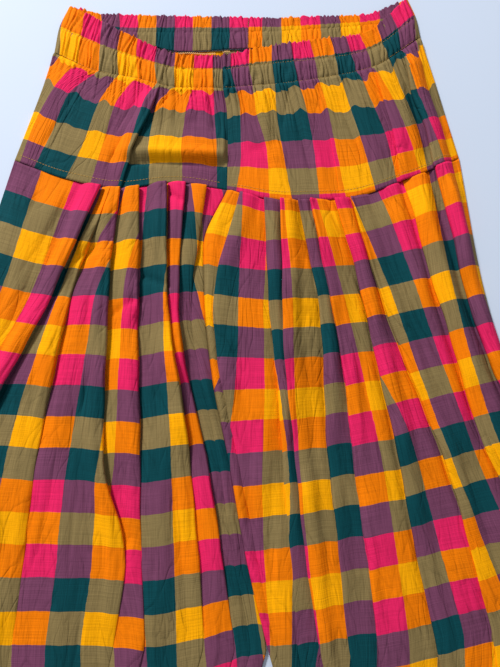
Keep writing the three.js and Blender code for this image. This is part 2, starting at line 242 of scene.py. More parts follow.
def checked_cotton():
    material, shader = new_material("checked cotton")
    tree = material.node_tree
    uv = add_node(tree, "ShaderNodeUVMap", uv_map="cloth").outputs["UV"]
    split = add_node(tree, "ShaderNodeSeparateXYZ")
    tree.links.new(uv, split.inputs[0])

    wander = maths(tree, "MULTIPLY", maths(tree, "SUBTRACT", streaks(tree, uv, (3, 3, 1), 2), 0.5), 0.05)
    stripe_place = maths(tree, "ADD", split.outputs["X"], wander)
    row_place = maths(tree, "ADD", split.outputs["Y"], wander)
    stripe_share = maths(tree, "FRACT", maths(tree, "DIVIDE", stripe_place, len(STRIPE_ORDER)))
    row_share = maths(tree, "FRACT", maths(tree, "DIVIDE", row_place, len(ROW_ORDER)))

    by_row = {}
    for row in STRIPE_ORDER:
        colours = [CHECK[tuple(sorted((row, stripe)))] + (1,) for stripe in STRIPE_ORDER]
        by_row[row] = stepped_ramp(tree, stripe_share, colours)
    mask = add_node(tree, "ShaderNodeSeparateColor")
    tree.links.new(stepped_ramp(tree, row_share, [MASKS[row] for row in ROW_ORDER]), mask.inputs[0])
    colour = mixed(tree, mask.outputs["Green"], by_row["yellow"], by_row["pink"])
    colour = mixed(tree, mask.outputs["Blue"], colour, by_row["teal"])

    yarns = maths(tree, "ADD", streaks(tree, uv, LENGTHWISE_YARNS, 3), streaks(tree, uv, CROSSWISE_YARNS, 3))
    shade = maths(tree, "ADD", maths(tree, "MULTIPLY", yarns, 0.8), 0.22)
    creases = 0
    for row in CRINKLES:
        creases = maths(tree, "ADD", creases, crinkles(tree, uv, **row))
    # Painted shade: the base colour is made darker along the crinkle lines, where the creases would shade
    # it.
    darker = maths(tree, "MULTIPLY", creases, 0.11)
    shade = maths(tree, "MULTIPLY", shade, maths(tree, "SUBTRACT", 1, darker))
    yarn_tone_and_crease_shade = add_node(tree, "ShaderNodeCombineColor")
    for channel in yarn_tone_and_crease_shade.inputs:
        tree.links.new(shade, channel)
    colour = mixed(tree, 1.0, colour, yarn_tone_and_crease_shade.outputs[0], "MULTIPLY")
    tree.links.new(colour, shader.inputs["Base Color"])

    shader.inputs["Roughness"].default_value = 0.82
    shader.inputs["Specular IOR Level"].default_value = 0.08

    crinkle = streaks(tree, uv, (7, 0.8, 1), 4)
    weave = maths(tree, "MULTIPLY", yarns, 0.12)
    height = maths(tree, "ADD", maths(tree, "MULTIPLY", crinkle, 0.42), weave)
    height = maths(tree, "SUBTRACT", height, maths(tree, "MULTIPLY", creases, 0.23))
    bump = add_node(tree, "ShaderNodeBump")
    bump.inputs["Strength"].default_value = 0.9
    bump.inputs["Distance"].default_value = 0.0022
    tree.links.new(height, bump.inputs["Height"])
    tree.links.new(bump.outputs["Normal"], shader.inputs["Normal"])
    return material


def thread_material(name, colour):
    material, shader = new_material(name)
    tree = material.node_tree
    where = add_node(tree, "ShaderNodeTexCoord").outputs["Object"]
    twist = streaks(tree, where, (900, 900, 900), 2)
    darker = tuple(0.6 * channel for channel in colour) + (1,)
    tree.links.new(mixed(tree, twist, darker, colour + (1,)), shader.inputs["Base Color"])
    shader.inputs["Roughness"].default_value = 0.6
    return material


COTTON = checked_cotton()
THREAD = thread_material("mustard thread", (0.76, 0.42, 0.05))
OVERLOCK = thread_material("peach overlock thread", (0.98, 0.56, 0.2))
print("materials:", COTTON.name, THREAD.name, OVERLOCK.name)

# %% [markdown]
# Tables hold the pattern's sizes at a few levels, and a curve joins them. This one never overshoots
# its values, so a fold that dies out stays dead instead of swinging back. A folded edge is a length
# that starts to grow at the fold, rounded over a millimetre, because cloth never turns on a point.

# %% Curves through tables
def ease(value):
    t = np.clip(value, 0, 1)
    return t * t * (3 - 2 * t)


def along(places, values, at):
    places = np.asarray(places, float)
    values = np.asarray(values, float)
    slopes = np.diff(values) / np.diff(places)
    tangents = np.empty_like(values)
    tangents[0] = slopes[0]
    tangents[-1] = slopes[-1]
    before, after = slopes[:-1], slopes[1:]
    together = before * after > 0
    tangents[1:-1] = np.where(together, 2 * before * after / np.where(together, before + after, 1), 0)
    at = np.clip(at, places[0], places[-1])
    k = np.clip(np.searchsorted(places, at) - 1, 0, len(slopes) - 1)
    width = (places[1:] - places[:-1])[k]
    t = (at - places[k]) / width
    curve = t * (1 - t) * ((1 - t) * tangents[k] - t * tangents[k + 1]) * width
    return values[k] + (values[k + 1] - values[k]) * t * t * (3 - 2 * t) + curve


def rounded_part(length):
    soft = (length + EDGE_ROUND) ** 2 / (4 * EDGE_ROUND)
    return np.where(np.abs(length) >= EDGE_ROUND, np.maximum(length, 0), soft)


# %% [markdown]
# The pattern tables repeat the part's own, with the stripes added. A pleat's row gives, at four or
# five levels, the place of its edge and the stripe that shows on its outer and on its inner side: what
# lies between the two is folded under. Marks give a stripe's place at each level where no pleat does.
# A leg's own table gives its side fold, and the height in the picture's plane of four points across
# a row; the centre seam's table gives the fifth.

# %% Leg tables
CENTRE = {
    "down": [0, 60, 120, 195, 270, 360, CROTCH_DOWN],
    "x": [-23.5, -47, -45.5, -37, -21.5, -4, 17.5],
    "y": [302, 243, 186, 110, 35, -58, -144],
}
LEVELS = [0, 120, 270, CROTCH_DOWN, ANKLE_DOWN]
LEFT_LEG = {
    "side": [-242, -276, -322, -352, -276],
    "y_side": [334, 209, 51, -130, -500],
    "y_quarter": [313, 194, 45, -136, -500],
    "y_middle": [303, 189, 41, -137, -500],
    "y_last_quarter": [309, 189, 39, -140, -500],
    "edge": [0, 0, 0, 0, 0],
    "side_stripe": [2.15, 2.15, 2.75, 2.75, 2.75],
    "centre_stripe": [17.15, 15.15, 14.55, 15.2, 15.2],
    "row_slip": [0, 10, 15, 27, 27],
    "first_row": 0.0,
    "ankle": -106,
}
RIGHT_LEG = {
    "side": [215, 233, 269, 349, 273],
    "y_side": [336, 205, 68, -100, -500],
    "y_quarter": [311, 190, 50, -114, -500],
    "y_middle": [292, 176, 34, -130, -500],
    "y_last_quarter": [290, 170, 26, -144, -500],
    "edge": [4, 6, 4, 2, 0],
    "side_stripe": [16.4, 16.2, 15.05, 14.5, 14.5],
    "centre_stripe": [-2.0, -2.0, -0.1, 0.9, 0.9],
    "row_slip": [0, -9, -15, -9, -9],
    "first_row": 4.6,
    "ankle": 103,
}
LEFT_PLEATS = [
    {"height": 8, "seam": (-150, 5.0, 6.0), "upper": (-195, 5.0, 5.86),
     "lower": (-259, 5.03, 5.2), "crotch": (-286, 5.0, 5.05)},
    {"height": 5, "seam": (-140, 6.28, 6.3), "upper": (-177, 6.38, 7.0),
     "lower": (-203, 6.85, 7.0), "crotch": (-222, 6.97, 7.0)},
    {"height": 6, "seam": (-131, 6.55, 8.85), "upper": (-140, 8.5, 9.45), "lower": (-140, 9.12, 9.7),
     "middle": (-117, 9.98, 10.65), "crotch": (-126, 9.95, 10.0)},
    {"height": 6, "seam": (-112, 9.42, 10.79), "upper": (-110, 10.56, 11.0),
     "lower": (-106, 10.73, 11.0), "crotch": (-97, 10.8, 11.0)},
    {"height": 7, "seam": (-84, 11.6, 13.0), "upper": (-80, 12.15, 13.0),
     "lower": (-57, 12.6, 13.0), "crotch": (-42, 12.9, 13.0)},
    {"height": 6, "seam": (-65, 13.56, 14.85), "upper": (-71, 13.26, 14.0),
     "lower": (-42, 13.46, 14.0), "crotch": (-12, 13.9, 14.0)},
    {"height": 5, "seam": (-43.6, 15.47, 16.6), "upper": (-58, 14.7, 14.75),
     "lower": (-32, 14.2, 14.22), "crotch": (2, 14.6, 14.62)},
]
RIGHT_PLEATS = [
    {"height": 9, "seam": (187, 15.0, 14.1), "upper": (213, 15.2, 14.5),
     "lower": (256, 14.81, 14.75), "crotch": (330, 13.8, 13.78)},
    {"height": 5, "seam": (156, 13.0, 12.95), "upper": (185, 13.5, 12.6),
     "lower": (222, 13.62, 12.32), "crotch": (300, 12.95, 12.65)},
    {"height": 5, "seam": (101, 11.0, 10.0), "upper": (131, 10.61, 10.0),
     "lower": (181, 10.74, 10.0), "crotch": (225, 10.12, 9.87)},
    {"height": 7, "seam": (85, 9.52, 7.53), "upper": (113, 9.5, 7.5),
     "lower": (140, 8.3, 7.4), "crotch": (171, 8.1, 7.7)},
    {"height": 5, "seam": (60, 6.79, 6.0), "upper": (82, 6.59, 6.0),
     "lower": (100, 6.2, 6.0), "crotch": (119, 6.12, 6.0)},
    {"height": 6, "seam": (48, 5.65, 4.4), "upper": (68, 5.58, 4.78),
     "lower": (76, 5.28, 5.03), "crotch": (92, 5.1, 4.9)},
    {"height": 8, "seam": (30, 3.88, 2.44), "upper": (32, 3.7, 2.34),
     "lower": (43, 3.86, 2.17), "crotch": (64, 3.94, 2.9)},
    {"height": 5, "seam": (14, 2.0, 0.7), "upper": (20, 2.0, 1.25),
     "lower": (32, 1.86, 1.6), "crotch": (44, 2.4, 2.3)},
    {"height": 5, "seam": (-10.3, -0.1, -1.6), "upper": (-37, -1.0, -1.81),
     "lower": (-12, 0.25, 0.23), "crotch": (25, 1.15, 1.13)},
]
LEFT_MARKS = {3: [-213.6, -245.4, -313.5, -343.6], 4: [-180.1, -217.9, -288.1, -318.2]}
RIGHT_MARKS = {
    14: [183.6, 199.1, 234.5, 318],
    12: [130.4, 166.6, 210.7, 276],
    7: [67, 96, 126, 148],
}
print("leg pleats:", len(LEFT_PLEATS) + len(RIGHT_PLEATS))

# %% [markdown]
# A row of cloth is drawn as one line: along the back from the centre seam to the side fold, round
# the fold, and over the front with its pleats. Distances are measured along the cloth, so a pleat
# takes up real cloth: forward to its edge, back under, and forward again.

# %% One row of cloth
FOLD_POINTS = 14
TURN_POINTS = 7
TURN_ANGLES = -np.pi / 2 - np.pi * np.arange(TURN_POINTS) / TURN_POINTS
POINTS_APART = 2e-4
SHORTEST_FOLD = 3
SIDE_RISE = 1.6
CENTRE_DROP = 1.2
EDGE_TURN = 3.6
EDGE_DROP = 2.4
PRESSED_LINES = [{"inset": 4.5, "share": 0.09}, {"inset": 10, "share": 0.06}]
PRESSED_WIDTH = 1.3
SWELL_WIDTH = 30


def column_counts(stops, spacing):
    gaps = np.abs(np.diff(stops))
    return [max(3, int(round(gap / spacing))) for gap in gaps]


def pleated_row(side, centre, front_z, pleats, marks, ends, edge, counts, back_count, roundness):
    """The x, z and stripe of each point, from the centre seam behind round to the one in front."""
    turn = (front_z - BACK_Z) / 2
    start = side + turn
    folded = 0.0
    knots = [(0.0, ends[0])]
    edges = []
    loose_marks = sorted(marks)
    for pleat in pleats:
        while loose_marks and loose_marks[0][0] < pleat["x"]:
            knots.append((loose_marks[0][0] - start + folded, loose_marks.pop(0)[1]))
        overlap = min(abs(pleat["inner"] - pleat["outer"]) * STRIPE / 2, OVERLAP_MAX)
        first = pleat["x"] - start + folded
        edges.append((pleat["x"], pleat["height"], overlap, first))
        knots += [(first, pleat["outer"]), (first + 2 * overlap + 0.01, pleat["inner"])]
        folded += 2 * overlap
    for place, stripe in loose_marks:
        knots.append((place - start + folded, stripe))
    length = centre - start + folded
    knots.append((length, ends[1]))

    stops = []
    previous = 0.0
    for (_, _, overlap, first), count in zip(edges, counts):
        reach = max(overlap, SHORTEST_FOLD) + EDGE_ROUND
        stops.append(np.linspace(previous, first - EDGE_ROUND, count, endpoint=False))
        stops.append(np.linspace(first - EDGE_ROUND, first + reach, FOLD_POINTS, endpoint=False))
        previous = first + reach
    stops.append(np.linspace(previous, length, counts[-1]))
    s = np.maximum.accumulate(np.concatenate(stops))
    s = s + np.arange(len(s)) * POINTS_APART
    s = s * length / s[-1]

    x = start + s
    for _, _, overlap, first in edges:
        x = x - 2 * rounded_part(s - first) + 2 * rounded_part(s - first - overlap)
    z = front_z + SIDE_RISE * ease((x - start) / SIDE_ROUND)
    for place, height, overlap, first in edges:
        rise = ease((x - (place - overlap - RISE_WIDTH)) / RISE_WIDTH)
        turned = ease((s - first + EDGE_ROUND) / (2 * EDGE_ROUND))
        turned = turned + ease((s - first - overlap + EDGE_ROUND) / (2 * EDGE_ROUND))
        z = z + height * rise * (1 - turned / 2)
        for pressed in PRESSED_LINES:
            off = np.abs(s - first + pressed["inset"])
            z = z - pressed["share"] * height * np.exp(-off / PRESSED_WIDTH)
    lift = ease((x - (centre - RISE_WIDTH)) / RISE_WIDTH)
    z = z + edge * lift * (1 - ease((s - (length - EDGE_TURN)) / EDGE_DROP))
    z = z - CENTRE_DROP * ease((x - (centre - SIDE_ROUND)) / SIDE_ROUND)

    # Each strip between two pleats swells a little
    borders = np.array([start] + [e[0] for e in edges] + [centre])
    strip = np.clip(np.searchsorted(borders, x) - 1, 0, len(borders) - 2)
    width = np.maximum(borders[strip + 1] - borders[strip], 1)
    share = np.clip((x - borders[strip]) / width, 0, 1)
    arch = (4 * share * (1 - share) + 1e-6) ** 0.7
    z = z + roundness * np.minimum(width / SWELL_WIDTH, 1.3) * arch * (1 - share * 0.3)

    # Cloth folded under lets the rows on its two sides slip past each other
    slip = np.zeros_like(s)
    for number, (_, _, overlap, first) in enumerate(edges):
        amount = math.sin(2.6 * number) * min(overlap / 4, 1)
        slip = slip + amount * ease((s - first) / (2 * overlap + 1))

    places, stripes = np.array(knots).T
    order = np.argsort(places, kind="stable")
    stripe = np.interp(s, places[order], stripes[order])

    back_x = np.linspace(centre, start, back_count, endpoint=False)
    turn_x = start + turn * np.cos(TURN_ANGLES)
    turn_z = BACK_Z + turn + turn * np.sin(TURN_ANGLES)
    direction = np.sign(ends[1] - ends[0])
    back_stripe = ends[0] - direction * (back_x - start) / STRIPE
    turn_stripe = np.full(TURN_POINTS, float(ends[0]))
    behind = np.zeros(back_count + TURN_POINTS)
    return {
        "x": np.concatenate([back_x, turn_x, x]),
        "z": np.concatenate([np.full(back_count, BACK_Z), turn_z, z]),
        "stripe": np.concatenate([back_stripe, turn_stripe, stripe]),
        "front": np.arange(len(behind) + len(s)) > back_count + TURN_POINTS // 2,
        "share": np.concatenate([behind, s / length]),
        "slip": np.concatenate([behind, slip]),
        "arch": np.concatenate([behind, arch]),
    }


# %% [markdown]
# Creases that cross the pleats are placed one by one. A crease's row gives its two ends, its depth and
# its width: a depth below zero is a sharp trough, and one above it a soft ridge. Finer ripples run
# along the cloth, uneven and seeded by their place alone, so the cloth is the same on every run.

# %% Creases and ripples
LEFT_CREASES = [
    ((-178, 300), (-228, 214), -1.1, 4),
    ((-205, 250), (-250, 120), -1.0, 5),
    ((-84, 299), (-68, 288), -2.8, 3),
    ((-110, 213), (-80, 201), -2.8, 3.2),
    ((-134, 175), (-111, 189), -2.6, 3.2),
    ((-172, 228), (-150, 248), -2.6, 3.5),
    ((-163, 30), (-170, -60), -1.2, 4),
    ((-128, -20), (-96, -62), -1.6, 4),
    ((-118, -58), (-88, -100), 1.4, 4),
    ((-92, -70), (-112, -112), -1.4, 3),
    ((-72, -10), (-58, -110), -1.8, 4),
    ((-215, 0), (-232, -120), 1.5, 6),
    ((-250, 60), (-290, -90), -1.6, 7),
    ((-180, -200), (-160, -380), -1.8, 8),
    ((-240, -180), (-225, -330), 1.8, 9),
    ((-120, -210), (-140, -350), 1.4, 7),
]
RIGHT_CREASES = [
    ((171, 322), (197, 205), 3.2, 8),
    ((197, 200), (240, 68), 3.6, 8),
    ((183, 322), (209, 205), -3.4, 4),
    ((209, 200), (252, 68), -3.4, 4),
    ((142, 318), (171, 200), 2.0, 7),
    ((171, 196), (208, 64), 2.4, 7),
    ((152, 318), (181, 200), -2.2, 3.5),
    ((181, 196), (218, 64), -2.4, 3.5),
    ((58, 226), (70, 196), 2.0, 3.5),
    ((60, 232), (64, 205), -1.6, 2.5),
    ((100, 220), (118, 176), -1.6, 3),
    ((22, 55), (20, -90), -1.6, 3.5),
    ((-8, 120), (0, 30), -1.0, 4),
    ((90, 176), (108, 110), -1.4, 3.5),
    ((112, 100), (140, -20), -1.6, 4),
    ((150, -30), (176, -110), -1.5, 4),
    ((156, 260), (170, 215), -1.4, 4),
    ((168, 180), (196, 110), -1.4, 4),
    ((60, 10), (68, -120), 1.4, 6),
    ((200, 40), (240, -90), -1.6, 6),
    ((110, -190), (140, -360), -1.8, 8),
    ((200, -170), (190, -340), 1.8, 9),
]


def crease_relief(x, y, creases):
    relief = np.zeros_like(x)
    for (ax, ay), (bx, by), depth, width in creases:
        size = math.hypot(bx - ax, by - ay)
        share = ((x - ax) * (bx - ax) + (y - ay) * (by - ay)) / size ** 2
        off = ((x - ax) * (by - ay) - (y - ay) * (bx - ax)) / size
        fade = ease((share + 0.25) / 0.4) * ease((1.25 - share) / 0.4)
        profile = np.exp(-np.abs(off) / width) if depth < 0 else np.exp(-((off / width) ** 2))
        relief += depth * fade * profile
    return relief


def away_from_seams(share):
    """0 at the side fold and at the centre seam, and 1 on the cloth between them."""
    return ease(share / 0.04) * ease((1 - share) / 0.02)


def chance(number, salt):
    """A value from 0 to 1 that looks random but is always the same for the same numbers."""
    return np.modf(np.abs(np.sin(number * 12.9898 + salt * 78.233) * 43758.5453))[0]


def small_creases(stripe, row, first_row, last_row, widest, count, salt):
    """Short ridges and twice as many short troughs, strewn over the cloth."""
    relief = np.zeros_like(stripe)
    for number in range(count):
        middle = first_row + (last_row - first_row) * chance(number, salt + 1)
        length = 0.6 + 3.2 * chance(number, salt + 2) ** 2
        place = -1 + (widest + 2) * chance(number, salt + 3)
        lean = 0.22 * (chance(number, salt + 4) - 0.5)
        bend = 0.12 * (chance(number, salt + 5) - 0.5)
        depth = 0.5 + 1.8 * chance(number, salt + 6) ** 3
        width = (1.2 + 2.0 * chance(number, salt + 7)) / STRIPE
        away = (row - middle) / length
        path = place + lean * (row - middle) + bend * (row - middle) ** 2
        fade = ease((1 - np.abs(away)) / 0.7)
        profile = np.exp(-np.abs(stripe - path) / width)
        relief += (0.6 if number % 3 == 0 else -1) * depth * fade * profile
    return relief


# Each wave has its turns across, turns down, bend, phase and height
RIPPLE_WAVES = [
    (2.3, 0.55, 0.9, 0.3, 0.42),
    (3.7, -0.35, 1.3, 1.9, 0.32),
    (6.1, 0.25, 0.7, 4.4, 0.22),
    (9.4, -0.45, 1.7, 2.7, 0.13),
]


def ripples(stripe, row, strength):
    relief = np.zeros_like(stripe)
    for across, down, bend, phase, height in RIPPLE_WAVES:
        angle = across * stripe + down * row + bend * np.sin(0.8 * row + 1.7 * phase + 0.5 * stripe) + phase
        reach = 0.6 + 0.4 * np.sin(0.37 * row * bend + 0.9 * stripe + phase)
        relief += height * reach * np.sin(angle)
    return strength * relief


print("creases on the legs:", len(LEFT_CREASES) + len(RIGHT_CREASES))

# %% [markdown]
# A sheet starts as a flat grid with one vertex for each point of each row. Its points are then laid
# on the rows, its UV map takes the stripe and row numbers, and Solidify gives the cloth its
# thickness, inwards from the face that shows. Before that, each row is moved out by half the solid's
# wall, given its height in the picture's plane, and turned to its own half of the garment.

# %% Lay a grid of cloth
SLIP_FROM = 0.72


def lay_cloth(name, rows, mirrored):
    count_down = len(rows)
    count_across = len(rows[0]["x"])
    bpy.ops.object.select_all(action="DESELECT")
    bpy.ops.mesh.primitive_grid_add(x_subdivisions=count_across - 1, y_subdivisions=count_down - 1, size=1)
    piece = bpy.context.object
    piece.name = name
    mesh = piece.data
    mesh.name = name
    assert len(mesh.vertices) == count_down * count_across, (len(mesh.vertices), count_down, count_across)

    ordered = rows[::-1]
    stack = {key: np.array([row[key] for row in ordered]) for key in ("x", "y", "z", "stripe", "row")}
    if mirrored:
        stack = {key: values[:, ::-1] for key, values in stack.items()}
    places = np.stack([stack["x"] - MIDDLE["x"], stack["y"] - MIDDLE["y"], stack["z"]], axis=-1)
    mesh.vertices.foreach_set("co", (places * MM).ravel())
    for layer in list(mesh.uv_layers):
        mesh.uv_layers.remove(layer)
    layer = mesh.uv_layers.new(name="cloth")
    corner = np.empty(len(mesh.loops), dtype=np.int64)
    mesh.loops.foreach_get("vertex_index", corner)
    cloth = np.stack([stack["stripe"].ravel(), stack["row"].ravel()], axis=-1)
    layer.data.foreach_set("uv", cloth[corner].ravel())
    mesh.update()
    bpy.ops.object.shade_smooth()
    solidify = piece.modifiers.new("cloth thickness", "SOLIDIFY")
    solidify.thickness = CLOTH * MM
    solidify.offset = -1
    bpy.ops.object.modifier_apply(modifier=solidify.name)
    piece.data.materials.clear()
    piece.data.materials.append(COTTON)
    print(name, "faces", len(piece.data.polygons))
    return piece


def check_counter(sign, mirror_stripe):
    """Turns a half's own stripe numbers into the check's."""
    return (lambda stripe: stripe) if sign > 0 else (lambda stripe: mirror_stripe - stripe)


def finish_row(line, ends, heights, row_number, row_slip, sign, to_check, relief, row_relief):
    """Adds y, row and the outward step to a drawn row, and turns it to the garment's own side."""
    side, centre = ends
    front, back = heights
    share = np.clip((line["x"] - side) / (centre - side), 0, 1)
    y = np.where(line["front"], along(QUARTERS, front, share), along(QUARTERS, back, share))
    slipping = ease((share - SLIP_FROM) / (1 - SLIP_FROM))
    row = row_number + row_slip * slipping / ROW * line["front"]
    real_x = sign * line["x"]
    z = line["z"] + np.where(line["front"], relief(real_x, y, line, row), 0)
    dx = np.gradient(line["x"])
    dz = np.gradient(z)
    size = np.hypot(dx, dz)
    step = WALL / 2
    return {
        "x": sign * (line["x"] - dz / size * step),
        "y": y,
        "z": np.maximum(z + dx / size * step, 0.0),
        "stripe": to_check(line["stripe"]),
        "row": row + row_relief(line),
    }


# %% [markdown]
# Each leg is one wide panel. Its pleats are deep at the yoke seam and open out downwards, so they
# are read from the table at every row. Below the crotch the leg tapers and its inner edge is cut
# slanting across the stripes; the ankle ends in a plain stitched facing. Rows are close together at
# the seam, where the cloth is busiest, and further apart below the crotch, where it lies plain.

# %% Legs
LEG_ROWS = np.concatenate([
    np.arange(0, 30, 2.5), np.arange(30, 200, 3.2), np.arange(200, 300, 5), np.arange(300, 450, 7),
    np.arange(450, 560, 12), np.arange(560, FACING_DOWN, 26), [FACING_DOWN],
])
FACING_ROWS = np.linspace(FACING_DOWN, ANKLE_DOWN, 9)
PLEAT_LEVELS = {"seam": 0, "upper": 120, "lower": 270, "middle": 375, "crotch": CROTCH_DOWN}
LEG_SPACING = 1.6
BACK_POINTS = 26
LEG_MIRROR_STRIPE = 2
LEG_STRIPES = 18
LEG_ROW_COUNT = 19
SMALL_CREASES = 230
CREASE_SCALE = 1.3
LEG_RIPPLES = 2.5
PLEATS_OUT = 200

# Each slow wave down a pleat has its height, its length and its shift from one pleat to the next
EDGE_WAVES = [(0.7, 33, 2.1), (0.35, 9, 4.3)]
HEIGHT_WAVES = [(0.22, 29, 1.7), (0.12, 11, 1)]


def waves_down(waves, down, number):
    return sum(height * math.sin(down / length + shift * number) for height, length, shift in waves)


def centre_seam(down, ankle):
    if down <= CROTCH_DOWN:
        return along(CENTRE["down"], CENTRE["x"], down), along(CENTRE["down"], CENTRE["y"], down)
    t = (down - CROTCH_DOWN) / (ANKLE_DOWN - CROTCH_DOWN)
    x = CENTRE["x"][-1] + (ankle - CENTRE["x"][-1]) * (0.55 * t + 0.45 * math.sin(math.pi * t / 2))
    return x, CENTRE["y"][-1] + (ANKLE_Y - CENTRE["y"][-1]) * t


def leg_rows(depths, leg, pleats, marks, creases, sign):
    crotch_side = leg["side"][3]
    crotch_width = CENTRE["x"][-1] - crotch_side
    stops = [crotch_side] + [pleat["crotch"][0] for pleat in pleats] + [CENTRE["x"][-1]]
    counts = column_counts(stops, LEG_SPACING)
    to_check = check_counter(sign, LEG_MIRROR_STRIPE)
    rows = []
    for down in depths:
        read = {name: float(along(LEVELS, leg[name], down)) for name in leg if isinstance(leg[name], list)}
        centre_x, centre_y = centre_seam(down, leg["ankle"])
        below = min(down, CROTCH_DOWN)
        folds = []
        # The pleats lie flatter towards the crotch
        steady = 1 - 0.4 * float(ease((below - 180) / 270))
        for number, pleat in enumerate(pleats):
            names = [name for name in PLEAT_LEVELS if name in pleat]
            places = [PLEAT_LEVELS[name] for name in names]
            columns = list(zip(*[pleat[name] for name in names]))
            x, outer, inner = (float(along(places, column, below)) for column in columns)
            if down > CROTCH_DOWN:
                share = (pleat["crotch"][0] - crotch_side) / crotch_width
                x = read["side"] + share * (centre_x - read["side"])
                fade = ease((down - CROTCH_DOWN) / PLEATS_OUT)
                inner = inner + (outer - inner) * float(fade)
            # Below the seam an edge wanders a little, and its fold rises unevenly
            loose = float(ease((down - 15) / 60))
            x += loose * waves_down(EDGE_WAVES, down, number)
            uneven = 1 + loose * waves_down(HEIGHT_WAVES, down, number)
            hidden = abs(outer - inner) * STRIPE
            height = pleat["height"] * min(hidden / FULL_PLEAT, 1) * steady * uneven
            folds.append({"x": sign * x, "outer": outer, "inner": inner, "height": height})
        edge_marks = []
        for stripe, at_levels in marks.items():
            x = float(along(LEVELS[:4], at_levels, below))
            if down > CROTCH_DOWN:
                x = read["side"] + (x - crotch_side) / crotch_width * (centre_x - read["side"])
            edge_marks.append((sign * x, stripe))
        side, centre = sign * read["side"], sign * centre_x
        swell = 4.0 * float(ease(down / 40)) * (1 - 0.5 * float(ease((down - 220) / 260)))
        line = pleated_row(
            side, centre, FRONT_Z, folds, edge_marks, (read["side_stripe"], read["centre_stripe"]),
            read["edge"], counts, BACK_POINTS, swell,
        )
        if down > CROTCH_DOWN:
            # The stripes keep the places that they have at the crotch, and the inseam cuts across them
            front_part = line["share"] > 0
            full = abs(centre - side)
            at_crotch = abs(line["x"] - side) / abs(crotch_width)
            at_row = (abs(line["x"] - side) / full)[front_part]
            spread = np.interp(at_crotch, at_row, line["stripe"][front_part])
            line["stripe"] = np.where(front_part, spread, line["stripe"])

        def relief(x, y, drawn, row):
            calm = away_from_seams(drawn["share"])
            waves = ripples(drawn["stripe"], row, LEG_RIPPLES)
            first_row = leg["first_row"]
            last_row = first_row + LEG_ROW_COUNT
            small = small_creases(
                drawn["stripe"], row, first_row, last_row, LEG_STRIPES, SMALL_CREASES, first_row + 1,
            )
            settle = float(ease(down / 25))
            return calm * (crease_relief(x, y, creases) * CREASE_SCALE + settle * (waves + small))

        def row_slack(drawn):
            free = float(ease((down - 10) / 150)) * (1 - float(ease((down - CROTCH_DOWN) / PLEATS_OUT)))
            return free * (0.13 * sign * drawn["slip"] + 0.06 * drawn["arch"])

        names = ("y_side", "y_quarter", "y_middle", "y_last_quarter")
        heights = [read[name] for name in names] + [centre_y]
        straight = np.linspace(heights[0], heights[-1], 5)
        rows.append(finish_row(
            line, (side, centre), (heights, straight), leg["first_row"] + down / ROW,
            read["row_slip"], sign, to_check, relief, row_slack,
        ))
    return rows


def eased_rows(rows, depths, first, last, passes):
    """Relaxes the cloth down its length between two depths, where the leg starts to taper."""
    inside = [index for index in range(1, len(rows) - 1) if first < depths[index] < last]
    for _ in range(passes):
        for key in ("x", "y", "z", "stripe", "row"):
            values = [row[key] for row in rows]
            for index in inside:
                before = depths[index] - depths[index - 1]
                after = depths[index + 1] - depths[index]
                middle = (values[index - 1] * after + values[index + 1] * before) / (before + after)
                rows[index][key] = 0.5 * values[index] + 0.5 * middle
    return rows


CROTCH_EASING = {"first": 380, "last": 620, "passes": 8}
LEFT = (LEFT_LEG, LEFT_PLEATS, LEFT_MARKS, LEFT_CREASES, 1)
RIGHT = (RIGHT_LEG, RIGHT_PLEATS, RIGHT_MARKS, RIGHT_CREASES, -1)
left_leg_rows = eased_rows(leg_rows(LEG_ROWS, *LEFT), LEG_ROWS, **CROTCH_EASING)
right_leg_rows = eased_rows(leg_rows(LEG_ROWS, *RIGHT), LEG_ROWS, **CROTCH_EASING)
leg_left = lay_cloth("leg_cloth_left", left_leg_rows, False)
leg_right = lay_cloth("leg_cloth_right", right_leg_rows, True)
facing_left_rows = leg_rows(FACING_ROWS, *LEFT)
facing_right_rows = leg_rows(FACING_ROWS, *RIGHT)
facing_left = lay_cloth("ankle_facing_left", facing_left_rows, False)
facing_right = lay_cloth("ankle_facing_right", facing_right_rows, True)

# %% [markdown]
# The yoke and the waist casing are one piece of cloth, its top turned inside over the elastic. The
# front of the waist lies lower than the back, so a strip of the back casing's inner side shows.
# The elastic gathers the casing into small even pleats, and each runs out at its own length into
# the yoke. The tables give each half at six levels, from the waist's edge to the yoke seam. Front and
# back rows have five heights, from the side to the centre.

# %% Waist tables
WAIST_LEVELS = ["edge", "stitch", "casing", "hip", "low", "seam"]
LEVEL_DEPTHS = [0, UPPER_STITCH, LOWER_STITCH, 74, 118, 160]
LEFT_WAIST = {
    "side": [-192, -202, -206, -214, -230, -242],
    "centre": [-30, -29, -28, -24, -23, -23.5],
    "front": [(504, 483, 462, 447.5, 446.5), (479, 459, 444, 433, 432), (451, 430, 421, 411, 411),
              (420, 398, 388, 385, 384), (370, 352, 344, 343, 340), (334, 313, 303, 309, 302)],
    "back": [(504, 495, 494, 493, 492), (479, 476, 475, 475, 475), (451, 458, 461, 453.8, 455.5),
             (420, 418, 418, 418, 418), (370, 368, 367, 367, 367), (334, 330, 328, 327, 327)],
    "row": [4.43, 5.06, 5.86, 7.0, 8.5, 9.93],
    "side_stripe": [0.15, -0.1, -0.3, 0.4, 0.75, 0.8],
    "centre_stripe": [8.45, 8.45, 8.45, 8.4, 8.4, 8.4],
}
